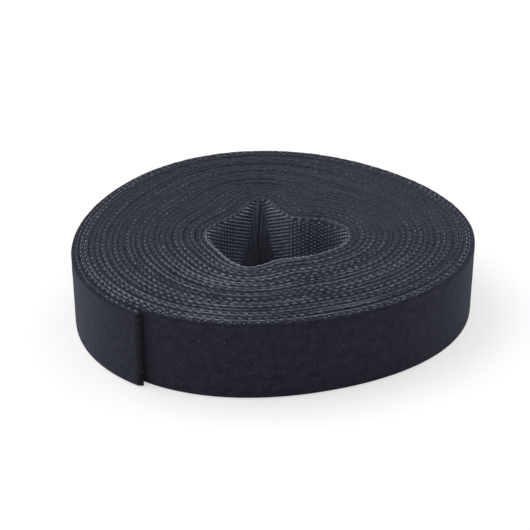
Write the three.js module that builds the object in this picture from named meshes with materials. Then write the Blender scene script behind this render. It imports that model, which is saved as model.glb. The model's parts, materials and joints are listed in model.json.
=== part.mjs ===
// Roll of back-to-back hook and loop tape, lying flat on its edges, in millimetres with +Z up.
// The tape is two bonded webs, hooks facing the core hole and pile facing out, wound without a reel.
// The origin is under the middle of the roll, on the surface that it lies on.
import * as THREE from "three";

// Tape
const tapeWidth = 20;
const hookWebThickness = 0.3;
const bondThickness = 0.1;
const loopWebThickness = 0.3;
const napDepth = 0.6; // room that hooks and pile take, pressed together between two turns

// Roll, seen from above: plan angles in degrees run counter-clockwise from +X
const rollRadius = 51.8;
const ovalHeight = 0.8; // how far the soft roll bulges on two sides
const ovalAngle = 45;
const triangleHeight = 1.6; // and on three sides, over the corners of the core hole
const triangleAngle = 106;
const innerEndAngle = 100.8;
const outerEndAngle = 235.8;
const stepsPerTurn = 24;

// Core hole: plan points of the bare inner face of the first turn, counter-clockwise from the right
const coreHole = [
  [18.9, -2.4],
  [17.6, 1.7],
  [13.3, 4.6],
  [8.4, 4.6],
  [4.4, 5.6],
  [1.6, 8.8],
  [-0.4, 12.2],
  [-2.0, 16.2],
  [-4.2, 18.2],
  [-6.3, 16.0],
  [-8.0, 11.8],
  [-10.4, 7.1],
  [-14.0, 3.0],
  [-16.5, -1.4],
  [-16.0, -6.4],
  [-12.8, -12.8],
  [-9.6, -18.0],
  [-5.8, -20.8],
  [-2.4, -19.4],
  [1.0, -16.8],
  [9.3, -14.4],
  [13.4, -11.9],
  [17.4, -8.2],
];
const holeSamples = 360; // points that stand for the smooth outline
const searchHalvings = 30; // of the radius range, when a turn is placed

// Hook yarns, standing on the bare inner face of the first turn
const yarnPitch = 1.03;
const yarnWidth = 0.4;
const yarnHeight = 0.6;
const yarnSeat = 0.1; // clearance under a yarn
const selvedgeWidth = 0.7;

// Tail: the last stretches of the outer turn, free to peel off
const tailStretches = 4;
const tailJointGap = 0.5;
const tailLift = 0.8; // how far the cut end stands off the turn under it

const tapeThickness = hookWebThickness + bondThickness + loopWebThickness;
const loopWebInside = hookWebThickness + bondThickness;
const turnPitch = tapeThickness + napDepth;
const radians = THREE.MathUtils.degToRad;
const fullTurn = radians(360);

const material = (color, roughness) => new THREE.MeshStandardMaterial({ color, roughness, metalness: 0 });
const hookWebFinish = material(0x25272e, 0.75);
const loopWebFinish = material(0x1d1e23, 0.95);
const hookYarnFinish = material(0x30333b, 0.5);

// Shape of the roll in plan: the smooth hole outline, and the lobed outside
const holePoints = new THREE.CatmullRomCurve3(
  coreHole.map(([x, y]) => new THREE.Vector3(x, y, 0)),
  true,
  "centripetal",
)
  .getSpacedPoints(holeSamples)
  .slice(0, -1)
  .map((p) => new THREE.Vector2(p.x, p.y));

const outerRadius = (angle) =>
  rollRadius +
  ovalHeight * Math.cos(2 * (angle - radians(ovalAngle))) +
  triangleHeight * Math.cos(3 * (angle - radians(triangleAngle)));

function distanceToSegment(p, a, b) {
  const along = b.clone().sub(a);
  const share = THREE.MathUtils.clamp(p.clone().sub(a).dot(along) / along.lengthSq(), 0, 1);
  return p.distanceTo(along.multiplyScalar(share).add(a));
}

const next = (list, i) => list[(i + 1) % list.length];
const distanceToHole = (p) =>
  Math.min(...holePoints.map((a, i) => distanceToSegment(p, a, next(holePoints, i))));

// Radius of the hole along a ray from the middle
function holeRadius(angle) {
  const ray = new THREE.Vector2(Math.cos(angle), Math.sin(angle));
  let radius = 0;
  holePoints.forEach((a, i) => {
    const b = next(holePoints, i);
    const [sideA, sideB] = [ray.cross(a), ray.cross(b)];
    if (sideA > 0 === sideB > 0) return;
    const crossing = a.clone().lerp(b, sideA / (sideA - sideB)).dot(ray);
    radius = Math.max(radius, crossing);
  });
  return radius;
}

// Turns run parallel to the hole where they are near it and to the outside where they are near that:
// level 0 is the hole, level 1 the inner face of the tape where it ends
function levelRadius(angle, level) {
  const lastRadius = outerRadius(angle) - tapeThickness;
  let [low, high] = [holeRadius(angle), lastRadius];
  const ray = new THREE.Vector2(Math.cos(angle), Math.sin(angle));
  for (let halving = 0; halving < searchHalvings; halving++) {
    const radius = (low + high) / 2;
    const fromHole = distanceToHole(ray.clone().multiplyScalar(radius));
    if (fromHole < level * (fromHole + lastRadius - radius)) low = radius;
    else high = radius;
  }
  return (low + high) / 2;
}

// Number of steps that the narrowest side of the roll has room for, ending at the tail's angle
const narrowest = Math.min(
  ...holePoints.map((p) => outerRadius(p.angle()) - tapeThickness - p.length()),
);
const endTurn = ((outerEndAngle - innerEndAngle + 360) % 360) / 360;
const wholeTurns = Math.floor(narrowest / turnPitch - endTurn);
const steps = Math.round((wholeTurns + endTurn) * stepsPerTurn);
const coilSteps = steps - tailStretches;

// Steps crowd round the corners of the hole in the first turns, and even out towards the outside
function crowdedAngles() {
  const first = radians(innerEndAngle);
  const turned = holePoints
    .map((p, i) => {
      const after = next(holePoints, i).clone().sub(p);
      const before = p.clone().sub(holePoints.at(i - 1));
      const bend = Math.abs(Math.atan2(before.cross(after), before.dot(after)));
      return { angle: (p.angle() - first + fullTurn) % fullTurn, bend };
    })
    .sort((a, b) => a.angle - b.angle);
  const totalBend = turned.reduce((sum, { bend }) => sum + bend, 0);
  const angles = [0];
  let bendSoFar = 0;
  for (const { angle, bend } of turned) {
    bendSoFar += bend;
    const share = (angle / fullTurn + bendSoFar / totalBend) / 2;
    if (share >= angles.length / stepsPerTurn && angles.length < stepsPerTurn) angles.push(angle);
  }
  return angles;
}

// The path of the tape: the inner face of the hook web in plan, from the inner end to the cut end
function windTape() {
  const cornerAngles = crowdedAngles();
  const path = [];
  for (let step = 0; step <= steps; step++) {
    const level = step / steps;
    const place = step % stepsPerTurn;
    const even = (place / stepsPerTurn) * fullTurn;
    const angle = radians(innerEndAngle) + THREE.MathUtils.lerp(cornerAngles[place], even, level);
    const loose = Math.max(0, step - coilSteps) / tailStretches;
    const radius = levelRadius(angle, level) + tailLift * loose ** 2;
    path.push(new THREE.Vector2(radius * Math.cos(angle), radius * Math.sin(angle)));
  }
  return path;
}

const path = windTape();
const outward = (a, b) => new THREE.Vector2(b.y - a.y, a.x - b.x).normalize();

// A point of the path moved outwards by a distance, mitred so that the tape keeps its thickness
function offset(step, distance) {
  const before = outward(path[Math.max(0, step - 1)], path[Math.max(1, step)]);
  const after = outward(path[Math.min(steps - 1, step)], path[Math.min(steps, step + 1)]);
  const mitre = before.clone().add(after).normalize();
  return mitre.multiplyScalar(distance / mitre.dot(before)).add(path[step]);
}

// The same square to the stretch that starts at a step, some way along it
function squareOffset(step, along, distance) {
  const [a, b] = [path[step], path[step + 1]];
  return outward(a, b).multiplyScalar(distance).add(b.clone().sub(a).setLength(along)).add(a);
}

// The roll's box is centred on the origin
const middle = new THREE.Box2()
  .setFromPoints(path.map((_, step) => offset(step, tapeThickness)))
  .getCenter(new THREE.Vector2());
path.forEach((p) => p.sub(middle));

// A closed strip standing on edge, through stations that each give its inner and outer point in plan
function strip(stations, bottom, top) {
  const vertices = stations.flatMap(({ inner, outer }) => [
    [inner.x, inner.y, bottom],
    [outer.x, outer.y, bottom],
    [outer.x, outer.y, top],
    [inner.x, inner.y, top],
  ]);
  const corners = 4;
  const last = (stations.length - 1) * corners;
  const faces = [0, 1, 2, 0, 2, 3, last, last + 2, last + 1, last, last + 3, last + 2];
  for (let here = 0; here < last; here += corners) {
    for (let corner = 0; corner < corners; corner++) {
      const a = here + corner;
      const b = here + ((corner + 1) % corners);
      faces.push(a, a + corners, b, b, a + corners, b + corners);
    }
  }
  const geometry = new THREE.BufferGeometry();
  geometry.setAttribute("position", new THREE.Float32BufferAttribute(vertices.flat(), 3));
  geometry.setIndex(faces);
  geometry.computeVertexNormals();
  return geometry;
}

const roll = new THREE.Group();
function add(name, geometry, finish) {
  const mesh = new THREE.Mesh(geometry, finish);
  mesh.name = name;
  roll.add(mesh);
}

const webs = [
  { name: "hook_web", inside: 0, outside: hookWebThickness, finish: hookWebFinish },
  { name: "loop_web", inside: loopWebInside, outside: tapeThickness, finish: loopWebFinish },
];

// Coil: both webs unbroken from the inner end to the first tail joint
for (const { name, inside, outside, finish } of webs) {
  const stations = [];
  for (let step = 0; step < coilSteps; step++) {
    stations.push({ inner: offset(step, inside), outer: offset(step, outside) });
  }
  const last = coilSteps - 1;
  const along = path[last].distanceTo(path[coilSteps]) - tailJointGap / 2;
  stations.push({ inner: squareOffset(last, along, inside), outer: squareOffset(last, along, outside) });
  add(`${name}_coil`, strip(stations, 0, tapeWidth), finish);
}

// Tail stretches, numbered from the coil to the cut end
for (let stretch = 0; stretch < tailStretches; stretch++) {
  const step = coilSteps + stretch;
  const length = path[step].distanceTo(path[step + 1]);
  const isCutEnd = stretch === tailStretches - 1;
  const ends = [tailJointGap / 2, isCutEnd ? length : length - tailJointGap / 2];
  for (const { name, inside, outside, finish } of webs) {
    const stations = ends.map((along) => ({
      inner: squareOffset(step, along, inside),
      outer: squareOffset(step, along, outside),
    }));
    add(`${name}_tail_${stretch + 1}`, strip(stations, 0, tapeWidth), finish);
  }
}

// Hook yarns, one node each, round the first turn as far as the inner end lets them
const yarnCount = Math.floor((tapeWidth - 2 * selvedgeWidth) / yarnPitch) + 1;
const firstYarn = (tapeWidth - (yarnCount - 1) * yarnPitch - yarnWidth) / 2;
for (let yarn = 0; yarn < yarnCount; yarn++) {
  const stations = [];
  for (let step = 0; step < stepsPerTurn; step++) {
    stations.push({ inner: offset(step, -yarnSeat - yarnHeight), outer: offset(step, -yarnSeat) });
  }
  const bottom = firstYarn + yarn * yarnPitch;
  const number = String(yarn + 1).padStart(2, "0");
  add(`hook_yarn_${number}`, strip(stations, bottom, bottom + yarnWidth), hookYarnFinish);
}

// Least gap between one face of the tape and another face of the next turn, on points along every step
function leastGap(face, nextFace) {
  const pointsPerStep = 6;
  const nearbySteps = 4;
  let least = Infinity;
  for (let step = 0; step + stepsPerTurn < steps; step++) {
    const [a, b] = [offset(step, face), offset(step + 1, face)];
    for (let k = 0; k < pointsPerStep; k++) {
      const p = a.clone().lerp(b, k / pointsPerStep);
      const facing = step + stepsPerTurn;
      const lastFacing = Math.min(facing + nearbySteps, steps);
      for (let other = facing - nearbySteps; other < lastFacing; other++) {
        const gap = distanceToSegment(p, offset(other, nextFace), offset(other + 1, nextFace));
        least = Math.min(least, gap);
      }
    }
  }
  return least;
}

const tapeLength = path.reduce((sum, p, i) => sum + (i ? p.distanceTo(path[i - 1]) : 0), 0);
console.log(`turns ${(steps / stepsPerTurn).toFixed(2)}, tape length ${(tapeLength / 1000).toFixed(2)} m`);
console.log(`least gap of the hook web to itself ${leastGap(hookWebThickness, 0).toFixed(2)} mm`);
console.log(`least gap of the loop web to itself ${leastGap(tapeThickness, loopWebInside).toFixed(2)} mm`);
console.log(`least gap from turn to turn ${leastGap(tapeThickness, 0).toFixed(2)} mm`);
for (let stretch = 0; stretch < tailStretches; stretch++) {
  const pivot = offset(coilSteps + stretch, tapeThickness / 2);
  console.log(`tail joint ${stretch + 1} at x ${pivot.x.toFixed(3)}, y ${pivot.y.toFixed(3)}`);
}

export default roll;
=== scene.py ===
import json
import math

import bpy
import numpy as np
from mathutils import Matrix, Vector


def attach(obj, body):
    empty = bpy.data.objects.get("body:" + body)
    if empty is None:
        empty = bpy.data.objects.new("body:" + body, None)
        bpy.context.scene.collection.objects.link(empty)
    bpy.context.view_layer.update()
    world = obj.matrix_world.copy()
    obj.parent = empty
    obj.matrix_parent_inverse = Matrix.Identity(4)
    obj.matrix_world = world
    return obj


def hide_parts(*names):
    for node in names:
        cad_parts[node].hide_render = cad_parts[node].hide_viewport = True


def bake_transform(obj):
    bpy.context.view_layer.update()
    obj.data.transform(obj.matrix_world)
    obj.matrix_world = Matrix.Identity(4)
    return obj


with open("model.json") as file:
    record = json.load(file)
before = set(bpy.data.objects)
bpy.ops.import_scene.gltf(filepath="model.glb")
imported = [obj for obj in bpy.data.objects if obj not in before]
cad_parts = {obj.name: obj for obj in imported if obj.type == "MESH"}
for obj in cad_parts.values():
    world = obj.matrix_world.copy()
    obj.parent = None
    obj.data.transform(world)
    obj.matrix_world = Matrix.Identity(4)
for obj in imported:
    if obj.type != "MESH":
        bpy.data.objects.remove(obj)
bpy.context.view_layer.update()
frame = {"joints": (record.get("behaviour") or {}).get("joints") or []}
millimetre = 0.001  # every size below is in millimetres, and meshes are in metres


# Camera, where the photograph was taken from
cameraSetup = {
    "target": (0.07, 0.20, 20),  # middle of the roll's upper face
    "distance": 360,
    "elevation": 26.01,  # of the camera above the target, in degrees
    "aimBelow": 1.598,  # how far below the target it looks
    "pan": -0.449,
    "lens": 93.99,
    "sensor": 36,
    "clipStart": 0.01,  # metres
}


def makeCamera(setup):
    rise = math.radians(setup["elevation"])
    back = Vector((0, -math.cos(rise), math.sin(rise)))
    data = bpy.data.cameras.new("photo_camera")
    data.lens = setup["lens"]
    data.sensor_width = setup["sensor"]
    data.clip_start = setup["clipStart"]
    camera = bpy.data.objects.new("photo_camera", data)
    camera.location = (Vector(setup["target"]) + back * setup["distance"]) * millimetre
    down = math.radians(setup["elevation"] + setup["aimBelow"])
    camera.rotation_euler = (math.pi / 2 - down, 0, -math.radians(setup["pan"]))
    bpy.context.scene.collection.objects.link(camera)
    bpy.context.scene.camera = camera


makeCamera(cameraSetup)
print("camera set")


# The winding in plan: hole, turns and tail as in the solids, followed in finer steps
winding = {
    "tapeWidth": 20,
    "tapeThickness": 0.7,
    "rollRadius": 51.8,
    "lobes": ((2, 0.8, 45), (3, 1.6, 106)),  # number, height, plan angle of each swelling
    "innerEnd": 100.8,  # plan angle, counter-clockwise from the right
    "turns": 22.375,
    "tailTurns": 4 / 24,
    "tailLift": 0.8,
    "tightTurns": 4,  # next to the hole, followed in closer steps
    "outerTurns": 1.08,  # before the tail, with relief in their pile
    "brightTurns": 2.2,  # at the end, with the palest selvedges
    "middle": (0.661, 1.075),  # of the roll's box, from the middle of the turns
    "coreHole": (
        (18.9, -2.4), (17.6, 1.7), (13.3, 4.6), (8.4, 4.6), (4.4, 5.6), (1.6, 8.8),
        (-0.4, 12.2), (-2.0, 16.2), (-4.2, 18.2), (-6.3, 16.0), (-8.0, 11.8), (-10.4, 7.1),
        (-14.0, 3.0), (-16.5, -1.4), (-16.0, -6.4), (-12.8, -12.8), (-9.6, -18.0), (-5.8, -20.8),
        (-2.4, -19.4), (1.0, -16.8), (9.3, -14.4), (13.4, -11.9), (17.4, -8.2),
    ),
    "pointsPerSpan": 16,  # of the smooth hole outline
    "stepsPerTurn": 240,
    "halvings": 22,  # of the radius range, when a turn is placed
}

# Where each kind of unevenness starts its random draws
seeds = {
    "drift": 3,
    "rise": 5,
    "webEdge": 8,
    "loopSelvedge": 12,
    "pileTop": 23,
    "grain": 31,
    "lump": 32,
    "edgeSelvedge": 52,
    "looped": 61,
    "webSelvedge": 72,
    "hookRows": 100,
}


def smoothLoop(points, perSpan):  # a centripetal curve through the points
    corners = np.array(points, float)
    spans = []
    for i in range(len(corners)):
        p0, p1, p2, p3 = (corners[(i + k - 1) % len(corners)] for k in range(4))
        t1 = math.sqrt(np.linalg.norm(p1 - p0))
        t2 = t1 + math.sqrt(np.linalg.norm(p2 - p1))
        t3 = t2 + math.sqrt(np.linalg.norm(p3 - p2))
        t = np.linspace(t1, t2, perSpan, endpoint=False)[:, None]
        a1 = p0 + (p1 - p0) * t / t1
        a2 = p1 + (p2 - p1) * (t - t1) / (t2 - t1)
        a3 = p2 + (p3 - p2) * (t - t2) / (t3 - t2)
        b1 = a1 + (a2 - a1) * t / t2
        b2 = a2 + (a3 - a2) * (t - t1) / (t3 - t1)
        spans.append(b1 + (b2 - b1) * (t - t1) / (t2 - t1))
    return np.concatenate(spans)


def distanceToLoop(points, loop, atOnce=500, tiny=1e-12):  # less than 0 inside it
    nextPoint = np.roll(loop, -1, 0)
    side = nextPoint - loop
    distances = []
    for chunk in np.array_split(points, len(points) // atOnce + 1):
        away = chunk[:, None] - loop
        share = np.clip((away * side).sum(2) / (side * side).sum(1), 0, 1)
        nearest = np.linalg.norm(away - share[..., None] * side, axis=2).min(1)
        spans = (loop[:, 1] > chunk[:, 1:]) != (nextPoint[:, 1] > chunk[:, 1:])
        crossing = loop[:, 0] + side[:, 0] / (side[:, 1] + tiny) * (chunk[:, 1:] - loop[:, 1])
        inside = (spans & (chunk[:, :1] < crossing)).sum(1) % 2
        distances.append(nearest * (1 - 2 * inside))
    return np.concatenate(distances)


def windTape(shape):
    hole = smoothLoop(shape["coreHole"], shape["pointsPerSpan"])
    turn = np.linspace(0, shape["turns"], round(shape["turns"] * shape["stepsPerTurn"]) + 1)
    angle = math.radians(shape["innerEnd"]) + math.tau * turn
    last = shape["rollRadius"] - shape["tapeThickness"]
    for number, height, at in shape["lobes"]:
        last = last + height * np.cos(number * (angle - math.radians(at)))
    ray = np.stack([np.cos(angle), np.sin(angle)], 1)
    low = np.zeros(len(turn))
    high = last.copy()
    for _ in range(shape["halvings"]):  # a turn keeps its share of the way from hole to outside
        radius = (low + high) / 2
        away = distanceToLoop(ray * radius[:, None], hole)
        short = away < turn / shape["turns"] * (away + last - radius)
        low = np.where(short, radius, low)
        high = np.where(short, high, radius)
    loose = np.clip((turn - shape["turns"]) / shape["tailTurns"] + 1, 0, 1)
    return turn, ray * (radius + shape["tailLift"] * loose**2)[:, None] - np.array(shape["middle"])


def along(places, values, at):  # interpolates rows of values
    return np.stack([np.interp(at, places, column) for column in values.T], -1)


def smoothNoise(place, seed):  # from -1 to 1, with a knot at each whole number
    knots = np.random.default_rng(seed).uniform(-1, 1, int(np.max(place)) + 3)
    low = np.floor(place).astype(int)
    share = place - low
    share = share * share * (3 - 2 * share)
    return knots[low] * (1 - share) + knots[low + 1] * share


def outwardOf(points, arcs):  # level, and square to the path
    forward = np.gradient(points, arcs, axis=0)
    forward /= np.linalg.norm(forward, axis=1)[:, None]
    return np.stack([forward[:, 1], -forward[:, 0]], 1)


def arcsOf(points):
    return np.concatenate([[0], np.cumsum(np.linalg.norm(np.diff(points, axis=0), axis=1))])


# A roll wound by hand: turns lie a little unevenly, and the inner ones lean in at the back
unevenness = {
    "swing": 0.17,  # length of one swing, in turns
    "drift": 0.25,  # of a turn between its neighbours
    "rise": 0.27,  # of the highest edge above the lowest
    "evenTurns": 0.8,  # from the inner end, without waves
    "settleTurns": 1.2,  # over which the last waves die away, and then the turns without any
    "outerDepth": 0.65,  # of the last turn under its thick free pile, inside the place of the solid
    "outerFrom": 3,  # turns from the end, where it starts to lie deeper
    "outerOver": 2,  # and over how many
    "leanDepth": 2.3,  # of the foot of the inner turn, into the hole
    "leanSpread": 17,  # to either side of the inner end, in degrees
    "leanTurns": 5,
}
pathTurn, pathPoint = windTape(winding)
settled = np.clip((winding["turns"] - pathTurn) / unevenness["settleTurns"] - 1, 0, 1)
settled = settled * np.clip(pathTurn - unevenness["evenTurns"], 0, 1)
drift = unevenness["drift"] * smoothNoise(pathTurn / unevenness["swing"], seeds["drift"]) * settled
deeper = (pathTurn - winding["turns"] + unevenness["outerFrom"]) / unevenness["outerOver"]
drift = drift - unevenness["outerDepth"] * np.clip(deeper, 0, 1)
pathPoint = pathPoint + outwardOf(pathPoint, arcsOf(pathPoint)) * drift[:, None]
pathArc = arcsOf(pathPoint)
pathOut = outwardOf(pathPoint, pathArc)
pathNext = along(pathTurn, pathPoint, pathTurn + 1)  # one turn further out
pathPitch = ((pathNext - pathPoint) * pathOut).sum(1)
riseNoise = smoothNoise(pathTurn / unevenness["swing"], seeds["rise"])
pathRise = unevenness["rise"] * (0.5 + 0.5 * riseNoise) * settled
fromInnerEnd = ((pathTurn + 0.5) % 1 - 0.5) * 360
leanAcross = fromInnerEnd / unevenness["leanSpread"]
pathLean = np.exp(-pathTurn / unevenness["leanTurns"] - leanAcross**2 / 2)
pathLean *= unevenness["leanDepth"]
pathBehind = pathPoint[:, 1] / np.linalg.norm(pathPoint, axis=1)  # from -1 at the front to 1 at the back
tapeWidth = winding["tapeWidth"]
tapeEnd = pathArc[-1]


def arcAt(turn):
    return float(np.interp(turn, pathTurn, pathArc))


def tapeValue(values, arc):  # a value of the path at distances along the tape
    return np.interp(arc, pathArc, values)


def placeOnTape(arc, outward, height):  # points from distances along, out of and up the tape
    lean = tapeValue(pathLean, arc) * (1 - np.clip(height / tapeWidth, 0, 1))
    plan = along(pathArc, pathPoint, arc) + along(pathArc, pathOut, arc) * (outward - lean)[..., None]
    return np.concatenate([plan, height[..., None]], -1)


tailPieces = len(frame["joints"])
tailTurn = winding["turns"] - winding["tailTurns"]
jointArcs = [arcAt(tailTurn + winding["tailTurns"] * k / tailPieces) for k in range(tailPieces)]
stretch = (tapeEnd - jointArcs[0]) / tailPieces
tailCuts = [arc - stretch / 2 for arc in jointArcs] + [tapeEnd]  # where one tail piece meets the next
coilEnd = tailCuts[0]
firstTurnEnd = arcAt(1)
tightTurnsEnd = arcAt(winding["tightTurns"])
outerTurnStart = arcAt(tailTurn - winding["outerTurns"])  # still covered when the tail is peeled off
coverEnd = arcAt(winding["turns"] - 1)  # under the cut end of the tail
brightTurnsStart = arcAt(winding["turns"] - winding["brightTurns"])
print(f"winding: {winding['turns']} turns, {tapeEnd / 1000:.2f} m of tape")


# Mesh making
def makePiece(name, points, faces, uv, tone, finish, flatFaces=0):
    mesh = bpy.data.meshes.new(name)
    mesh.from_pydata((np.asarray(points) * millimetre).tolist(), [], faces)
    smooth = np.arange(len(faces)) < len(faces) - flatFaces  # the last faces may be flat
    mesh.polygons.foreach_set("use_smooth", smooth)
    corner = np.zeros(len(mesh.loops), int)
    mesh.loops.foreach_get("vertex_index", corner)
    mesh.uv_layers.new(name="tape").data.foreach_set("uv", np.asarray(uv)[corner].ravel())
    # each point's tone holds its own tone and also painted light and shade
    toneLayer = mesh.attributes.new("tone", "FLOAT", "POINT")
    toneLayer.data.foreach_set("value", np.asarray(tone, float).ravel())
    mesh.materials.append(finish)
    mesh.validate()
    piece = bpy.data.objects.new(name, mesh)
    bpy.context.scene.collection.objects.link(piece)
    return piece


def ringFaces(rings, around, capped=True):  # quads over closed rings, with both ends shut
    here = np.arange(rings - 1)[:, None] * around + np.arange(around)
    beside = np.arange(rings - 1)[:, None] * around + (np.arange(around) + 1) % around
    faces = np.stack([here, beside, beside + around, here + around], -1).reshape(-1, 4).tolist()
    if capped:
        faces.append(list(range(around - 1, -1, -1)))
        faces.append(list(range((rings - 1) * around, rings * around)))
    return faces


def makeRibbon(name, arcs, outward, height, tone, finish):  # a closed strip, section by section
    rings, around = outward.shape
    arcGrid = np.repeat(arcs, around)
    raised = (height + tapeValue(pathRise, arcs)[:, None]).ravel()
    points = placeOnTape(arcGrid, outward.ravel(), raised)
    uv = np.stack([arcGrid, height.ravel()], -1)
    return makePiece(name, points, ringFaces(rings, around), uv, tone, finish, flatFaces=2)


# Copies of a template, whose axes are along, out of and up the tape
def scatter(name, template, placing, finish):
    shape, faces, uv = template
    local = shape[None] * placing["scale"][:, None, :]
    cosine, sine = np.cos(placing["spin"])[:, None], np.sin(placing["spin"])[:, None]
    ahead = local[..., 0] * cosine - local[..., 2] * sine
    up = local[..., 0] * sine + local[..., 2] * cosine
    raised = placing["height"] + tapeValue(pathRise, placing["arc"])
    point = placeOnTape(placing["arc"], placing["outward"], raised)
    out = along(pathArc, pathOut, placing["arc"])
    forward = np.stack([-out[:, 1], out[:, 0]], -1)
    placed = np.repeat(point[:, None], len(shape), 1)
    placed[..., :2] += ahead[..., None] * forward[:, None] + local[..., 1:2] * out[:, None]
    placed[..., 2] += up
    count = len(placed)
    starts = range(0, count * len(shape), len(shape))
    allFaces = [[corner + start for corner in face] for start in starts for face in faces]
    tones = np.repeat(placing["tone"], len(shape))
    return makePiece(name, placed.reshape(-1, 3), allFaces, np.tile(uv, (count, 1)), tones, finish)


def joinPlacings(placings):
    return {key: np.concatenate([placing[key] for placing in placings]) for key in placings[0]}


def tubeTemplate(line, radii, sides, tip=0.6):  # a tube along points, with tips of so many radii
    line = np.asarray(line, float)
    direction = np.gradient(line, axis=0)
    direction /= np.linalg.norm(direction, axis=1)[:, None]
    across = np.cross(direction, (0, 0, 1.0))
    steep = np.linalg.norm(across, axis=1) < 0.2  # nearly upright
    across[steep] = np.cross(direction[steep], (1.0, 0, 0))
    across /= np.linalg.norm(across, axis=1)[:, None]
    second = np.cross(direction, across)
    turn = math.tau * np.arange(sides) / sides
    circle = across[:, None] * np.cos(turn)[:, None] + second[:, None] * np.sin(turn)[:, None]
    body = (line[:, None] + circle * np.asarray(radii)[:, None, None]).reshape(-1, 3)
    firstTip = line[0] - direction[0] * radii[0] * tip
    lastTip = line[-1] + direction[-1] * radii[-1] * tip
    rings = len(line)
    faces = [face[::-1] for face in ringFaces(rings, sides, capped=False)]
    first, last = rings * sides, rings * sides + 1
    for side in range(sides):
        beside = (side + 1) % sides
        end = (rings - 1) * sides
        faces.append([first, beside, side])
        faces.append([last, end + side, end + beside])
    v = np.tile(turn / math.tau, rings)
    u = np.repeat(np.linspace(0, 1, rings), sides)
    uv = np.concatenate([np.stack([u, v], -1), [[0, 0], [1, 0]]])
    return np.concatenate([body, [firstTip, lastTip]]), faces, uv


# Shader maths as expressions
class Socket:  # one output of a node, which adds Math nodes when it is calculated with
    def __init__(self, finish, output):
        self.finish = finish
        self.output = output

    def math(self, operation, first, second=0.0):
        return self.finish.node("ShaderNodeMath", {"operation": operation}, {0: first, 1: second})

    def __add__(self, other):
        return self.math("ADD", self, other)

    def __radd__(self, other):
        return self.math("ADD", other, self)

    def __rsub__(self, other):
        return self.math("SUBTRACT", other, self)

    def __mul__(self, other):
        return self.math("MULTIPLY", self, other)

    def __rmul__(self, other):
        return self.math("MULTIPLY", other, self)

    def sine(self):
        return self.math("SINE", self)


class Finish:  # a material under construction
    def __init__(self, name, tree=None):
        if tree is None:
            self.material = bpy.data.materials.new(name)
            self.material.use_nodes = True
            tree = self.material.node_tree
        self.tree = tree
        self.tree.nodes.clear()

    def node(self, kind, settings, inputs, output=0):
        made = self.tree.nodes.new(kind)
        for key, value in settings.items():
            setattr(made, key, value)
        for key, value in inputs.items():
            if isinstance(value, Socket):
                self.tree.links.new(value.output, made.inputs[key])
            else:
                made.inputs[key].default_value = value
        return Socket(self, made.outputs[output]) if len(made.outputs) else None

    def noise(self, place, scale, detail=2.0, roughness=0.5):
        inputs = {"Vector": place, "Scale": scale, "Detail": detail, "Roughness": roughness}
        return self.node("ShaderNodeTexNoise", {}, inputs)

    def blend(self, share, first, second):  # of two colours
        settings = {"data_type": "RGBA", "clamp_factor": True}
        return self.node("ShaderNodeMix", settings, {0: share, 6: first, 7: second}, output=2)

    def between(self, value, low, high):  # 0 below low, 1 above high
        inputs = {"Value": value, "From Min": low, "From Max": high}
        return self.node("ShaderNodeMapRange", {"interpolation_type": "SMOOTHSTEP"}, inputs)

    def tapePlace(self):  # millimetres along and up the tape
        return self.node("ShaderNodeUVMap", {"uv_map": "tape"}, {})

    # each point's tone, which also carries painted light and shade
    def tone(self):
        return self.node("ShaderNodeAttribute", {"attribute_name": "tone"}, {}, output=2)

    def axes(self, place):
        parts = self.node("ShaderNodeSeparateXYZ", {}, {0: place}).output.node.outputs
        return [Socket(self, part) for part in parts]

    def bump(self, height, depth):
        return self.node("ShaderNodeBump", {}, {"Height": height, "Distance": depth * millimetre})

    def surface(self, inputs):
        shader = self.node("ShaderNodeBsdfPrincipled", {}, inputs)
        self.node("ShaderNodeOutputMaterial", {}, {"Surface": shader})
        return self.material


# Finishes
skyTint = (0.7, 0.78, 1, 1)  # of the light on smooth threads
napLook = {
    "dark": (0.0115, 0.0119, 0.0186, 1),
    "light": (0.0320, 0.0330, 0.0480, 1),
    "lint": (0.075, 0.078, 0.098, 1),
    "cut": (0.006, 0.0062, 0.009, 1),  # where the tape is cut off, and the darkest painted shade on the pile
    "patchScale": 0.45,  # per millimetre
    "patchShare": 0.35,  # of the shade, and the rest is grain
    "grainScale": 2.0,
    "shadeRange": (0.3, 0.7),
    "tuftScale": 0.85,  # of the pile's upper end between the turns
    "tuftRange": (0.38, 0.62),
    "tuftDark": 1.7,
    "tuftPaler": 1.4,  # than that, at the highest
    "lintScale": 1.5,
    "lintRange": (0.71, 0.74),
    "relief": 0.22,
    "roughness": 0.95,
    "specular": 0.1,
    "sheen": 0.19,
    "sheenRoughness": 0.45,
    "sheenTint": (0.56, 0.61, 0.84, 1),
}


def napFinish(look):
    finish = Finish("napped_pile")
    place = finish.tapePlace()
    patch = finish.noise(place, look["patchScale"])
    grain = finish.noise(place, look["grainScale"], detail=3, roughness=0.7)
    tuft = finish.noise(place, look["tuftScale"], detail=3, roughness=0.65)
    tuft = finish.between(tuft, *look["tuftRange"])
    mixed = look["patchShare"] * patch + (1 - look["patchShare"]) * grain
    shade = finish.between(mixed, *look["shadeRange"])
    lint = finish.between(finish.noise(place, look["lintScale"], detail=1), *look["lintRange"])
    colour = finish.blend(shade, look["dark"], look["light"])
    colour = finish.blend(lint, colour, look["lint"])
    tuftShade = look["tuftDark"] - look["tuftPaler"] * tuft
    # painted shade: the tone darkens the pile over the cut end, between the turns and along the outer
    # turn's upper edge, in tufts
    colour = finish.blend(finish.tone() * tuftShade, colour, look["cut"])
    return finish.surface({
        "Base Color": colour,
        "Roughness": look["roughness"],
        "Specular IOR Level": look["specular"],
        "Sheen Weight": look["sheen"],
        "Sheen Roughness": look["sheenRoughness"],
        "Sheen Tint": look["sheenTint"],
        "Normal": finish.bump(grain, look["relief"]),
    })


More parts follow.
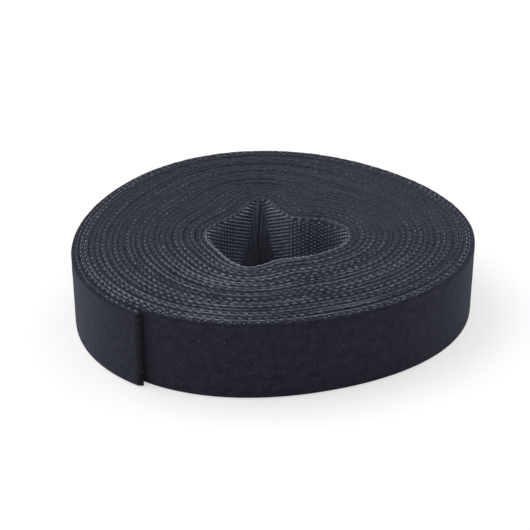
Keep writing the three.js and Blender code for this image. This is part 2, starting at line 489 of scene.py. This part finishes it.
webLook = {
    "dark": (0.0125, 0.0131, 0.0188, 1),
    "light": (0.30, 0.318, 0.415, 1),
    "pick": 1.06,  # length of one crossing thread
    "rib": 0.515,  # width of one lengthwise thread
    "stitch": 2.05,  # length of one dash along the edges
    "stitchSwing": 0.2,
    "patchScale": 0.09,
    "patchRange": (0.35, 0.65),
    "fuzzScale": 2.2,
    "edgeLight": 0.4,  # even, and as much again in patches and in fuzz
    "weaveLight": 0.015,
    "fuzzLight": 0.025,
    "fuzzRelief": 0.4,  # beside the weave's
    "relief": 0.06,
    "roughness": 0.62,
    "fuzzRoughness": 0.2,
    "specular": 0.25,
    "sheen": 0.12,
    "sheenTint": (0.6, 0.65, 0.85, 1),
}


def webFinish(look):
    finish = Finish("woven_hook_web")
    place = finish.tapePlace()
    lengthwise, up, _ = finish.axes(place)
    pick = (lengthwise * (math.tau / look["pick"])).sine()
    rib = (up * (math.tau / look["rib"])).sine()
    weave = 0.5 + 0.5 * pick * rib
    fuzz = finish.noise(place, look["fuzzScale"], detail=3)
    patch = finish.between(finish.noise(place, look["patchScale"]), *look["patchRange"])
    stitch = (lengthwise * (math.tau / look["stitch"])).sine()
    dash = 1 - look["stitchSwing"] + look["stitchSwing"] * stitch
    light = look["edgeLight"]
    # the tone brings the face's own tone and the painted light: edge and rim highlights, the paler
    # crease and the paler band
    edge = finish.tone() * (light + light * patch + light * fuzz) * dash
    shade = look["weaveLight"] * weave + look["fuzzLight"] * fuzz + edge
    return finish.surface({
        "Base Color": finish.blend(shade, look["dark"], look["light"]),
        "Roughness": look["roughness"] + look["fuzzRoughness"] * fuzz,
        "Specular IOR Level": look["specular"],
        "Specular Tint": skyTint,
        "Sheen Weight": look["sheen"],
        "Sheen Tint": look["sheenTint"],
        "Normal": finish.bump(weave + look["fuzzRelief"] * fuzz, look["relief"]),
    })


yarnLook = {
    "dark": (0.030, 0.032, 0.045, 1),
    "light": (0.46, 0.483, 0.605, 1),
    "filaments": 9,
    "twist": 2.0,
    "strandLight": 0.08,
    "relief": 0.05,
    "roughness": 0.5,
    "strandRoughness": 0.1,
    "specular": 0.35,
    "sheen": 0.1,
}


def yarnFinish(look):
    finish = Finish("selvedge_yarn")
    lengthwise, around, _ = finish.axes(finish.tapePlace())
    strand = (math.tau * (look["filaments"] * around + look["twist"] * lengthwise)).sine()
    shade = finish.tone() + look["strandLight"] * strand
    return finish.surface({
        "Base Color": finish.blend(shade, look["dark"], look["light"]),
        "Roughness": look["roughness"] + look["strandRoughness"] * strand,
        "Specular IOR Level": look["specular"],
        "Specular Tint": skyTint,
        "Sheen Weight": look["sheen"],
        "Normal": finish.bump(strand, look["relief"]),
    })


hookLook = {
    "dark": (0.025, 0.026, 0.037, 1),
    "light": (0.50, 0.525, 0.685, 1),
    "streakScale": 6.0,
    "evenLight": 0.3,
    "streakLight": 0.2,
    # painted highlight on the top of the curl
    "crownHighlight": 0.45,
    "relief": 0.02,
    "roughness": 0.28,
    "streakRoughness": 0.15,
    "specular": 0.8,
}


def hookFinish(look):
    finish = Finish("hook_monofilament")
    place = finish.tapePlace()
    lengthwise, _, _ = finish.axes(place)
    streak = finish.noise(place, look["streakScale"])
    crown = 27 / 4 * lengthwise * lengthwise * (1 - lengthwise)  # painted highlight, 1 where the curl stands out most
    light = look["evenLight"] + look["streakLight"] * streak + look["crownHighlight"] * crown
    shade = finish.tone() * light
    return finish.surface({
        "Base Color": finish.blend(shade, look["dark"], look["light"]),
        "Roughness": look["roughness"] + look["streakRoughness"] * streak,
        "Specular IOR Level": look["specular"],
        "Specular Tint": skyTint,
        "Normal": finish.bump(streak, look["relief"]),
    })


nap = napFinish(napLook)
web = webFinish(webLook)
yarn = yarnFinish(yarnLook)
filament = hookFinish(hookLook)
print("finishes: pile, web, selvedge yarn, hooks")


# Hook web: the thin woven ground with rounded edges, whose inner face carries the hooks
hookWeb = {
    "thickness": 0.3,
    "tightStep": 0.5,
    "step": 1.1,
    "edgePoints": 4,
    "edgeDepth": 0.55,  # how far the painted highlight of the edge reaches down the outer face
    "edgeFrom": 1.7,  # half thicknesses out, where it starts
    "edgeHighlight": 1.5,  # painted highlight on the edge's outer flank, at the front of the roll
    "edgeDim": 0.05,  # share of that painted highlight elsewhere
    "edgePatch": 9,  # length of the stretches where the painted highlight is paler
    "patchLevel": 0.75,
    "patchSwing": 0.7,
    "faceTone": 0.2,  # of the face between the hooks
    "creasePaintedLight": (0.66, 0.88),  # painted light on the face where hooks are pressed flat, to the left and right of the crease, lifting it out of the crease's shade
    "creaseWidth": 4.5,
    "bareBandLight": 0.45,  # painted light on the band without hooks, which lies in the hole's shade
    "rimHighlight": 0.92,  # painted highlight on the edge round the hole, along its left and its front
    "rimFrom": 0.19,  # of the inner turn
    "rimTo": 0.71,
    "rimFade": 0.05,
    "rimDim": 0.1,  # share of that painted highlight elsewhere
    "ribs": 19,
    "ribPitch": 1.03,
    "ribDepth": 0.05,
    "pointsPerRib": 4,
}


def hookWebSection(ribbed, rim):  # outward distance, height and tones round the strip
    half = hookWeb["thickness"] / 2
    swing = np.linspace(0, math.pi, hookWeb["edgePoints"] + 2)
    rows = np.array([half, tapeWidth - half])
    if ribbed:
        rows = np.linspace(half, tapeWidth - half, hookWeb["ribs"] * hookWeb["pointsPerRib"])
    wave = np.cos(math.tau * (rows - tapeWidth / 2) / hookWeb["ribPitch"])
    inner = hookWeb["ribDepth"] * (0.5 - 0.5 * wave) * ribbed
    topOut = (half - half * np.cos(swing))[1:]
    topUp = (tapeWidth - half + half * np.sin(swing))[1:]
    # painted highlight on the outer side of the rounded edge
    topHighlight = np.where(topOut > hookWeb["edgeFrom"] * half, hookWeb["edgeHighlight"], 0)
    # the inner turn's edge takes the rim's painted highlight all round its top
    if rim:
        topHighlight = np.full(len(topOut), hookWeb["rimHighlight"])
    outward = np.concatenate([inner, topOut, [2 * half], [2 * half], topOut[::-1]])
    depth = hookWeb["edgeDepth"]
    height = np.concatenate([rows, topUp, [tapeWidth - depth], [depth], tapeWidth - topUp[::-1]])
    edgeHighlight = np.concatenate([np.zeros(len(rows)), topHighlight, [0, 0], topHighlight[::-1]])
    face = np.arange(len(outward)) < len(rows)
    return outward, height, edgeHighlight, face


def stationsBetween(start, end, step):
    return np.linspace(start, end, max(2, round((end - start) / step) + 1))


def coilStations(start, end, tightStep, step):  # closer together in the tight inner turns
    tight = stationsBetween(start, tightTurnsEnd, tightStep)
    return np.concatenate([tight, stationsBetween(tightTurnsEnd, end, step)[1:]])


# where the inner turn's edge has its painted highlight, faint outside its stretch
def rimHighlightShare(arcs):
    share = arcs / firstTurnEnd
    inside = np.minimum(share - hookWeb["rimFrom"], hookWeb["rimTo"] - share)
    return np.clip(inside / hookWeb["rimFade"], hookWeb["rimDim"], 1)


def makeHookWeb(name, arcs, ribbed, rim):
    section = [np.repeat(row[None], len(arcs), 0) for row in hookWebSection(ribbed, rim)]
    outward, height, edgeHighlight, face = section
    # painted highlight along the edge's outer flank: strong at the front of the roll, faint elsewhere
    # and on the outer turn, in patches, none where the hook web's own loops show
    share = np.clip(-tapeValue(pathBehind, arcs), 0, 1) * (1 - freeShare(arcs))
    patches = smoothNoise(arcs / hookWeb["edgePatch"], seeds["webEdge"])
    patches = np.clip(hookWeb["patchLevel"] + hookWeb["patchSwing"] * patches, 0, 1)
    share = np.maximum(hookWeb["edgeDim"], share * patches * (1 - loopedShare(arcs)))
    # on the inner turn the rim's painted highlight takes the place of the front one
    if rim:
        share = rimHighlightShare(arcs)
    # painted light in the crease's shade, where the hooks are pressed flat
    nearCrease = np.exp(-creaseDistance(arcs) / hookWeb["creaseWidth"])[:, None]
    crushed = (1 - hookStanding(arcs[:, None], height)) * nearCrease
    creaseTone = np.where(arcs < firstTurnEnd / 2, *hookWeb["creasePaintedLight"])[:, None]
    faceTone = hookWeb["faceTone"] + (creaseTone - hookWeb["faceTone"]) * crushed
    # painted light on the band without hooks
    bare = np.clip(bareDepth(arcs)[:, None] - tapeWidth + height, 0, 1)
    faceTone = faceTone + hookWeb["bareBandLight"] * bare
    # the tone, painted light and the face's own alike, fades out just before the cut end, as painted
    # shade there
    tone = (edgeHighlight * share[:, None] + faceTone * face) * np.clip(tapeEnd - arcs, 0, 1)[:, None]
    piece = makeRibbon(name, arcs, outward, height, tone, web)
    return piece


# Loop web: the ground of the outer face with its pile, which fills the room up to the next turn
loopWeb = {
    "inside": 0.4,
    "ground": 0.62,  # outer face of the woven ground
    "pile": 1.47,  # outer face of the pile where it is free
    "pressedPile": 0.82,  # and where it is pressed most
    "clearance": 0.04,  # left to the next turn where it is pressed
    "thickest": 2.4,
    "coverTaper": 11,  # over which it settles towards the cut end of the tail
    "endRound": 0.9,  # over which it thins towards the cut end
    "lip": 0.31,  # inner side of the ground at its edges, where the bond shows
    "insideRound": 0.06,  # how far each corner of the section is cut back
    "groundRounds": (0.04, 0.06),
    "faceRound": 0.05,
    "faceTop": 0.62,  # ends of the pile's face, from the upper and the lower edge
    "faceFoot": 0.5,
    "pressedDrops": (0.2, 0.12, 0.12, 0.2, 0.2, 0.22),  # below the edge, from the ground to the pile
    "freeDrops": (0.2, 0.12, 0.12, 0.16, 0.18, 0.28),
    "lowerDrops": (0.3, 0.2, 0.2, 0.2, 0.24, 0.34),
    "cutPaintedShade": 0.6,  # painted shade that darkens the cut end
    "cutShade": 0.75,  # its length
    "paintedShadeBetweenTurns": 0.47,  # painted shade: how much darker the pile is between the turns
    "paintedEdgeShade": 0.45,  # and the painted shade along the upper edge of the outer turn
    "tightStep": 0.5,
    "step": 0.75,
    "rows": 2,
    "outerStep": 0.32,
    "outerRows": 58,
    "reliefs": (("grain", 0.035, 0.36), ("lump", 0.022, 2.6)),  # height and size, on the free pile
    "ragged": 0.17,  # unevenness of the pile's upper end
    "raggedSize": 1.0,
    "raggedShares": (0, 0, 0, 0, 1, 1),  # of the points from the ground to the pile
    "freeEven": 0.7,  # how much less it is on the outer turn
}


def fieldNoise(arcs, heights, size, seed):  # relief from -1 to 1 over the outer turn and the tail
    knotRows = int((tapeEnd - outerTurnStart) / size) + 3
    knots = np.random.default_rng(seed).uniform(-1, 1, (knotRows, int(tapeWidth / size) + 3))
    x, y = np.broadcast_arrays((arcs - outerTurnStart)[:, None] / size, heights / size)
    i, j = x.astype(int), y.astype(int)
    s, t = x - i, y - j
    s, t = s * s * (3 - 2 * s), t * t * (3 - 2 * t)
    low = knots[i, j] * (1 - t) + knots[i, j + 1] * t
    high = knots[i + 1, j] * (1 - t) + knots[i + 1, j + 1] * t
    return low * (1 - s) + high * s


def pileOutside(arcs):  # how far out the pile reaches: up to the next turn, or its own length
    pressed = tapeValue(pathPitch, arcs) - loopWeb["clearance"]
    pressed = np.clip(pressed, loopWeb["pressedPile"], loopWeb["thickest"])
    outside = loopWeb["pile"] + (pressed - loopWeb["pile"]) * (1 - freeShare(arcs))
    fromCut = np.clip(np.minimum(arcs, tapeEnd - arcs) / loopWeb["endRound"], 0, 1)
    return loopWeb["ground"] + (outside - loopWeb["ground"]) * np.sqrt(fromCut)


def freeShare(arcs):  # 0 between the turns and 1 on the outside of the roll
    share = np.clip((arcs - coverEnd) / loopWeb["coverTaper"] + 1, 0, 1)
    return share * share * (3 - 2 * share)


def loopWebSection(arcs, rows, grained):
    count = len(arcs)
    outside = pileOutside(arcs)
    inside, ground = loopWeb["inside"], loopWeb["ground"]
    free = freeShare(arcs)[:, None]
    ragged = smoothNoise(arcs / loopWeb["raggedSize"], seeds["pileTop"])[:, None]
    ragged = loopWeb["ragged"] * (1 - loopWeb["freeEven"] * free) * ragged
    drops = np.array(loopWeb["pressedDrops"]) * (1 - free) + np.array(loopWeb["freeDrops"]) * free
    topUp = tapeWidth - drops + ragged * np.array(loopWeb["raggedShares"])
    footUp = np.repeat(np.array(loopWeb["lowerDrops"])[None, ::-1], count, 0)
    level = np.ones(count)
    under, over = loopWeb["groundRounds"]
    edgeOut = np.stack([
        loopWeb["lip"] * level,
        (inside + loopWeb["insideRound"]) * level,
        (ground - under) * level,
        (ground + over) * level,
        (ground + outside) / 2,
        outside - loopWeb["faceRound"],
    ], 1)
    faceUp = np.linspace(tapeWidth - loopWeb["faceTop"], loopWeb["faceFoot"], rows)
    faceOut = np.repeat(outside[:, None], rows, 1)
    if grained:
        for kind, relief, size in loopWeb["reliefs"]:
            faceOut = faceOut + relief * fieldNoise(arcs, faceUp, size, seeds[kind])
    outward = np.concatenate([edgeOut, faceOut, edgeOut[:, ::-1]], 1)
    height = np.concatenate([topUp, np.repeat(faceUp[None], count, 0), footUp], 1)
    return outward, height


def makeLoopWeb(name, arcs, rows, grained):
    outward, height = loopWebSection(arcs, rows, grained)
    # painted shade over the cut end
    dark = loopWeb["cutPaintedShade"] - loopWeb["cutPaintedShade"] * (tapeEnd - arcs) / loopWeb["cutShade"]
    # painted shade on the pile between the turns
    dark = np.maximum(dark, loopWeb["paintedShadeBetweenTurns"] * (1 - freeShare(arcs)))
    tone = np.repeat(dark[:, None], outward.shape[1], 1)
    # painted shade along the upper edge, where the top light falls
    edge = len(loopWeb["freeDrops"])
    tone[:, :edge] = np.maximum(tone[:, :edge], loopWeb["paintedEdgeShade"])
    piece = makeRibbon(name, arcs, outward, height, tone, nap)
    return piece


# Selvedges: weft loops that turn round the edge of each web, one dash each
selvedge = {
    "pitch": 2.05,
    "length": 1.3,
    "body": 0.86,  # share of it between the tips
    "width": 0.2,  # half of it, as are all radii
    "taper": 0.75,
    "arch": 0.03,
    "slant": 0.03,
    "sides": 6,
    "hookWebSides": 5,
    "jitter": 0.16,  # of the loops' places, and below of their heights, turns, lengths and girths
    "heightJitter": 0.03,
    "spinJitter": 0.1,
    "lengthJitter": 0.16,
    "girthJitter": 0.12,
    "sunk": 0.13,  # how far some stretches lie lower
    "sunkWaves": ((0.6, 8), (0.4, 31)),  # share and length of each
    "backSunk": 0.2,  # how far the back of the roll lies lower
    "freeLevel": 0.8,  # how much less of both the outer turn has
    "tone": 0.355,
    "toneJitter": 0.2,
    "leastTone": 0.03,
    "wornWaves": ((0.18, 7), (0.3, 45)),  # change of tone and length of each
    # painted shade on the dashes everywhere but at the front of the roll
    "backPaintedShade": 0.16,
    "calm": 0.4,  # share of the waves on the last turns, which are the most even
    # Each side's outward place and depth below the edge, both again for the outer turn,
    # then its share of sinking, of the painted shade towards the back, and of width
    "loopSide": (0.62, 0.21, 0.55, 0.32, 1, 1, 1),
    "hookSide": (0.05, 0.16, 0.05, 0.16, 0, 0.8, 0.85),
    "rimSide": (0.14, 0.16, 0.14, 0.16, 0, 0, 0.9),
    "webSide": (0.14, 0.16, 0.14, 0.16, 0, 1.1, 0.8),
    "loopedShares": (0.27, 0.02, 0.7),  # how often the hook web's loops show: front, sides and back
    "loopedLength": 14,
    "loopedSharpness": 4,  # of the ends of those stretches
    "lowerDepth": 0.4,
    "outerLight": 0.08,  # how much paler the last two turns are
    "outerHidden": -0.5,  # further back than this the pile of the outer turn hides the loop web's own
}


def selvedgeTemplate(edge, sides):  # edge is 1 on the upper edge and -1 on the lower
    q = np.linspace(-1, 1, sides - 1)
    line = np.stack([
        q * selvedge["length"] / 2 * selvedge["body"],
        selvedge["slant"] * q,
        edge * selvedge["arch"] * (1 - 2 * q * q),
    ], -1)
    return tubeTemplate(line, selvedge["width"] * np.sqrt(1 - selvedge["taper"] * q**4), sides)


def noiseWaves(arcs, waves, seed):  # a sum of noises, each with its height and length
    return sum(height * smoothNoise(arcs / length, seed + k) for k, (height, length) in enumerate(waves))


def selvedgePlacing(start, end, edge, side, shift, seed):  # shift is a share of the pitch
    arcs = np.arange(selvedge["pitch"] * shift, tapeEnd - selvedge["length"] / 2, selvedge["pitch"])
    draws = np.random.default_rng(seed).uniform(-1, 1, (5, len(arcs)))
    arcs = arcs + draws[0] * selvedge["jitter"]
    chosen = (arcs >= start) & (arcs < end)
    arcs, draws = arcs[chosen], draws[:, chosen]
    sunk = selvedge["sunk"] * noiseWaves(arcs, selvedge["sunkWaves"], seed + 1)
    calm = np.where(arcs > brightTurnsStart, selvedge["calm"], 1)
    back = calm * (0.5 + 0.5 * tapeValue(pathBehind, arcs))
    out, below, freeOut, freeBelow, sunkShare, backShadeShare, width = selvedge[side]
    sunk = sunkShare * (sunk - selvedge["backSunk"] * back)
    free = freeShare(arcs)
    outward = out + (freeOut - out) * free
    height = selvedge["lowerDepth"]
    if edge > 0:
        below = below * (1 - free) + freeBelow * free
        height = tapeWidth - below + sunk * (1 - selvedge["freeLevel"] * free)
    # painted shade: the dashes are darker at the sides and the back
    dim = selvedge["backPaintedShade"] * np.clip(1 + tapeValue(pathBehind, arcs), 0, 1) * backShadeShare
    dim = np.where(arcs > brightTurnsStart, -selvedge["outerLight"], dim)
    worn = calm * noiseWaves(arcs, selvedge["wornWaves"], seed + 3)
    tone = selvedge["tone"] - dim + worn + selvedge["toneJitter"] * draws[4]
    girth = width * (1 + selvedge["girthJitter"] * draws[3])
    return {
        "arc": arcs,
        "outward": outward,
        "height": height + selvedge["heightJitter"] * draws[1],
        "spin": selvedge["spinJitter"] * draws[1] * edge,
        "scale": np.stack([1 + selvedge["lengthJitter"] * draws[2], girth, girth], -1),
        "tone": np.clip(tone, selvedge["leastTone"], 1),
    }


def makeSelvedge(name, start, end, edge, spans):  # the hook web's own loops show in the spans
    placing = selvedgePlacing(start, end, edge, "loopSide", 0.5, seeds["loopSelvedge"] + edge)
    arcs = placing["arc"]
    hidden = (freeShare(arcs) > 0.5) & (tapeValue(pathBehind, arcs) > selvedge["outerHidden"])
    placings = [{key: values[~hidden] for key, values in placing.items()}]
    for side, spanStart, spanEnd in spans:
        placings.append(selvedgePlacing(spanStart, spanEnd, edge, side, 1, seeds["edgeSelvedge"] + edge))
    piece = scatter(name, selvedgeTemplate(edge, selvedge["sides"]), joinPlacings(placings), yarn)
    return piece


def loopedShare(arcs):  # 1 in the stretches where the hook web's own loops show between the turns
    chance = np.interp(tapeValue(pathBehind, arcs), (-1, 0, 1), selvedge["loopedShares"])
    noise = smoothNoise(arcs / selvedge["loopedLength"], seeds["looped"])
    return np.clip(selvedge["loopedSharpness"] * (chance - 0.5 - 0.5 * noise) + 0.5, 0, 1)


def makeHookSelvedge(name, start, end, edge):
    placing = selvedgePlacing(start, end, edge, "webSide", 1, seeds["webSelvedge"] + edge)
    shown = loopedShare(placing["arc"]) > 0.5
    placing = {key: values[shown] for key, values in placing.items()}
    piece = scatter(name, selvedgeTemplate(edge, selvedge["hookWebSides"]), placing, yarn)
    return piece


# Hooks: staggered rows of cut monofilament loops, each a tall curled leg and its short stub
hooks = {
    "pitch": 1.02,
    "rowPitch": 1.04,
    "lowered": 0.15,
    "stagger": 0.26,  # of every other hook, up and down
    "rows": 19,
    "radius": 0.125,
    "thin": 0.8,  # share of it that the tip and the stub have
    "height": 0.72,
    "root": 0.04,  # below the face of the web
    "legMiddle": 0.55,  # share of the leg
    "legLean": (0, 0.01, 0.02),  # at its foot, middle and top
    "curl": 0.19,
    "swing": 190,  # of the curl, in degrees
    "stub": ((0.4, 0.04, 0), (0.42, -0.12, 0), (0.38, -0.24, 0)),
    "stubShade": (0.45, 0.3),  # shaded like the hook, painted highlight too, from this share of its length, over this much
    "sides": 5,
    "rings": 8,
    "slant": 0.05,  # turn of the curl away from the tape's length, in radians
    "spread": 0.16,
    "arcJitter": 0.05,
    "heightJitter": 0.04,
    "sizeJitter": 0.1,
    "tone": 0.36,
    "toneJitter": 0.2,
    "footTone": 0.25,  # added where they stand at least half; less, as painted shade, where they lie flatter near the crease
    "tailDim": 0.6,  # of those on the tail
    "endMargin": 1.2,
    "crushTop": 0.3,  # how far from the inner end the hooks are pressed flat, at the upper edge
    "crushFoot": 11.0,  # and at the lower
    "crushPower": 1.15,
    "crushFade": 0.6,  # over this share more they rise
    "leastStanding": 0.02,
    "flatHeight": 0.2,  # share of the height that pressed ones keep
    "bareAt": 0.77,  # of the first turn
    "bareSpread": 0.05,
    "bareDepth": 1.3,
}


def hookTemplate():
    legTop = hooks["height"] - hooks["curl"]
    legFoot = [-hooks["root"], legTop * hooks["legMiddle"]]
    *lean, topLean = hooks["legLean"]
    swing = np.linspace(0, math.radians(hooks["swing"]), hooks["rings"] - 2)
    run = np.concatenate([lean, topLean + hooks["curl"] * (1 - np.cos(swing))])
    rise = np.concatenate([legFoot, legTop + hooks["curl"] * np.sin(swing)])
    line = np.stack([run - hooks["curl"], -rise, np.zeros(len(run))], -1)
    radii = np.full(len(run), hooks["radius"])
    radii[-1] *= hooks["thin"]
    leg = tubeTemplate(line, radii, hooks["sides"])
    stubRadii = [hooks["radius"] * hooks["thin"]] * len(hooks["stub"])
    stub = tubeTemplate(hooks["stub"], stubRadii, hooks["sides"])
    faces = leg[1] + [[corner + len(leg[0]) for corner in face] for face in stub[1]]
    shadeFrom, shadeOver = hooks["stubShade"]
    stubPlace = stub[2] * np.array([shadeOver, 1]) + np.array([shadeFrom, 0])
    return np.concatenate([leg[0], stub[0]]), faces, np.concatenate([leg[2], stubPlace])


def bareDepth(arcs):  # of the band without hooks below the rim
    away = (arcs / firstTurnEnd - hooks["bareAt"]) / hooks["bareSpread"]
    return hooks["bareDepth"] * np.exp(-away * away)


def creaseDistance(arcs):  # along the inner turn, from where its two ends meet
    return np.minimum(arcs, np.abs(firstTurnEnd - arcs))


def hookStanding(arcs, height):  # 0 where the hooks are pressed flat and 1 where they stand
    down = np.clip(1 - height / tapeWidth, 0, 1) ** hooks["crushPower"]
    reach = hooks["crushTop"] + (hooks["crushFoot"] - hooks["crushTop"]) * down
    return np.clip((creaseDistance(arcs) / reach - 1) / hooks["crushFade"], 0, 1)


def hookRowPlacing(start, end, row):
    arcs = np.arange(hooks["pitch"] / 2, tapeEnd - hooks["endMargin"], hooks["pitch"])
    side = 1 - 2 * (np.arange(len(arcs)) % 2)
    draws = np.random.default_rng(seeds["hookRows"] + row).uniform(-1, 1, (5, len(arcs)))
    chosen = (arcs >= start) & (arcs < end)
    height = tapeWidth / 2 - hooks["lowered"] + (row - (hooks["rows"] - 1) / 2) * hooks["rowPitch"]
    height = height + side * hooks["stagger"]
    standing = hookStanding(arcs, height)
    chosen = chosen & (standing > hooks["leastStanding"])  # the others are pressed flat
    chosen = chosen & (height < tapeWidth - bareDepth(arcs))
    arcs, height, standing, draws = arcs[chosen], height[chosen], standing[chosen], draws[:, chosen]
    girth = 1 + hooks["sizeJitter"] * draws[3]
    tall = hooks["flatHeight"] + (1 - hooks["flatHeight"]) * standing
    tall = tall * (1 + hooks["sizeJitter"] * draws[4])
    # painted shade: the flatter the hooks lie towards the crease, the darker they are
    tone = standing * (hooks["tone"] + hooks["toneJitter"] * draws[1])
    tone = tone * (1 - hooks["tailDim"] * (arcs > coverEnd))
    return {
        "arc": arcs + hooks["arcJitter"] * draws[0],
        "outward": np.zeros(len(arcs)),
        "height": height + hooks["heightJitter"] * draws[1],
        "spin": hooks["slant"] + hooks["spread"] * draws[2],
        "scale": np.stack([girth, tall, girth], -1),
        "tone": hooks["footTone"] * np.clip(2 * standing, 0, 1) + tone,
    }


def makeHooks(name, start, end, rows):
    placing = joinPlacings([hookRowPlacing(start, end, row) for row in rows])
    piece = scatter(name, hookTemplate(), placing, filament)
    return piece


# The coil rides on the roll
def declareCloth(start, end):
    (end - start) * millimetre


def buildCoil():
    firstStations = stationsBetween(0, firstTurnEnd, hookWeb["tightStep"])
    firstTurn = makeHookWeb("hook_web_first_turn", firstStations, True, True)
    hookStations = coilStations(firstTurnEnd, coilEnd, hookWeb["tightStep"], hookWeb["step"])
    hookTurns = makeHookWeb("hook_web_turns", hookStations, False, False)
    loopStations = coilStations(0, outerTurnStart, loopWeb["tightStep"], loopWeb["step"])
    loopTurns = makeLoopWeb("loop_web_turns", loopStations, loopWeb["rows"], False)
    outerStations = stationsBetween(outerTurnStart, coilEnd, loopWeb["outerStep"])
    outerTurn = makeLoopWeb("loop_web_outer_turn", outerStations, loopWeb["outerRows"], True)
    spans = [
        ("hookSide", 0, hookWeb["rimFrom"] * firstTurnEnd),
        ("hookSide", hookWeb["rimTo"] * firstTurnEnd, firstTurnEnd),
        ("rimSide", coverEnd, coilEnd),
    ]
    upper = makeSelvedge("selvedge_upper", 0, coilEnd, 1, spans)
    lower = makeSelvedge("selvedge_lower", 0, coilEnd, -1, spans)
    hookUpper = makeHookSelvedge("hook_selvedge_upper", firstTurnEnd, coverEnd, 1)
    hookLower = makeHookSelvedge("hook_selvedge_lower", firstTurnEnd, coverEnd, -1)
    rows = []
    for row in range(hooks["rows"]):
        piece = makeHooks(f"hook_row_{row + 1:02d}", 0, firstTurnEnd - hooks["pitch"], [row])
        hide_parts(f"hook_yarn_{row + 1:02d}")
        rows.append(piece)
    edges = [upper, lower, hookUpper, hookLower]
    for piece in [hookTurns, firstTurn, loopTurns, outerTurn, *edges, *rows]:
        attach(piece, "roll")
    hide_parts("hook_web_coil")
    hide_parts("loop_web_coil")
    declareCloth(firstTurnEnd, coilEnd)
    declareCloth(0, firstTurnEnd)
    declareCloth(0, outerTurnStart)
    declareCloth(outerTurnStart, coilEnd)


# Each tail piece runs over one joint, from the middle of one stretch to the middle of the next
tailBend = {
    "behind": 0.4,  # where the bend starts and ends, from its joint
    "ahead": 6.4,
    "hookWebStep": 0.6,
    "cutBack": 0.3,  # of the hook web behind the cut end
}


def buildTail(number):
    start, end = tailCuts[number], tailCuts[number + 1]
    label = number + 1
    hookEnd = min(end, tapeEnd - tailBend["cutBack"])
    hookStations = stationsBetween(start, hookEnd, tailBend["hookWebStep"])
    hookCloth = makeHookWeb(f"tail_hook_web_{label}", hookStations, True, False)
    loopStations = stationsBetween(start, end, loopWeb["outerStep"])
    loopCloth = makeLoopWeb(f"tail_loop_web_{label}", loopStations, loopWeb["outerRows"], True)
    spans = [("rimSide", start, end)]
    edges = [makeSelvedge(f"tail_selvedge_{label}_upper", start, end, 1, spans),
             makeSelvedge(f"tail_selvedge_{label}_lower", start, end, -1, spans)]
    hookRows = makeHooks(f"tail_hooks_{label}", start, end, range(hooks["rows"]))
    for piece in [hookCloth, loopCloth, *edges, hookRows]:
        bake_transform(piece)
    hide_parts(f"hook_web_tail_{label}")
    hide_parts(f"loop_web_tail_{label}")
    declareCloth(start, end)
    declareCloth(start, end)


buildCoil()
print("coil: webs, selvedges and", hooks["rows"], "rows of hooks")
for tailNumber in range(tailPieces):
    buildTail(tailNumber)
print("tail:", tailPieces, "bending pieces")


# Stage: a white floor and sky, and four wide soft lamps
stageSetup = {
    "floorSize": 6.0,  # metres
    "floorColour": (0.86, 0.86, 0.86, 1),
    "shadowColour": (0.48, 0.48, 0.48, 1),  # the same floor for the camera, with a glow added
    "floorGlow": 0.575,
    "skyLight": 0.36,
    "lamps": (
        # name, where its light comes from in degrees round and up, width in degrees, strength
        ("key", 155, 50, 50, 1.05),
        ("side", 200, 36, 40, 0.34),
        ("fill", 40, 36, 60, 0.42),
        ("top", 90, 80, 90, 0.85),
    ),
}


def raysSeen(finish):  # camera, glossy and transmission rays, each 1 where the ray is one
    path = finish.node("ShaderNodeLightPath", {}, {}).output.node.outputs
    return [Socket(finish, path[f"Is {kind} Ray"]) for kind in ("Camera", "Glossy", "Transmission")]


def makeFloor(setup):
    half = setup["floorSize"] / 2
    mesh = bpy.data.meshes.new("floor")
    corners = [(-half, -half, 0), (half, -half, 0), (half, half, 0), (-half, half, 0)]
    mesh.from_pydata(corners, [], [(0, 1, 2, 3)])
    floor = bpy.data.objects.new("floor", mesh)
    finish = Finish("floor_white")
    camera = raysSeen(finish)[0]
    lit = finish.node("ShaderNodeBsdfDiffuse", {}, {"Color": setup["floorColour"]})
    shadowed = finish.node("ShaderNodeBsdfDiffuse", {}, {"Color": setup["shadowColour"]})
    glow = finish.node("ShaderNodeEmission", {}, {"Strength": setup["floorGlow"]})
    seen = finish.node("ShaderNodeAddShader", {}, {0: shadowed, 1: glow})
    both = finish.node("ShaderNodeMixShader", {}, {0: camera, 1: lit, 2: seen})
    finish.node("ShaderNodeOutputMaterial", {}, {"Surface": both})
    mesh.materials.append(finish.material)
    bpy.context.scene.collection.objects.link(floor)


def makeSky(setup):
    world = bpy.data.worlds.new("studio")
    world.use_nodes = True
    finish = Finish("studio", world.node_tree)
    camera, glossy, clear = raysSeen(finish)
    white = 1 - (1 - camera) * (1 - glossy) * (1 - clear)
    strength = setup["skyLight"] + (1 - setup["skyLight"]) * white
    sky = finish.node("ShaderNodeBackground", {}, {"Color": (1, 1, 1, 1), "Strength": strength})
    finish.node("ShaderNodeOutputWorld", {}, {"Surface": sky})
    bpy.context.scene.world = world


def makeLamps(setup):
    for name, azimuth, elevation, width, strength in setup["lamps"]:
        data = bpy.data.lights.new(name, "SUN")
        data.energy = strength
        data.angle = math.radians(width)
        lamp = bpy.data.objects.new(name, data)
        a, e = math.radians(azimuth), math.radians(elevation)
        source = Vector((math.cos(a) * math.cos(e), math.sin(a) * math.cos(e), math.sin(e)))
        lamp.rotation_euler = source.to_track_quat("Z", "Y").to_euler()
        bpy.context.scene.collection.objects.link(lamp)


makeFloor(stageSetup)
makeSky(stageSetup)
makeLamps(stageSetup)
bpy.context.scene.view_settings.view_transform = "Standard"
print("stage: floor, sky and lamps")
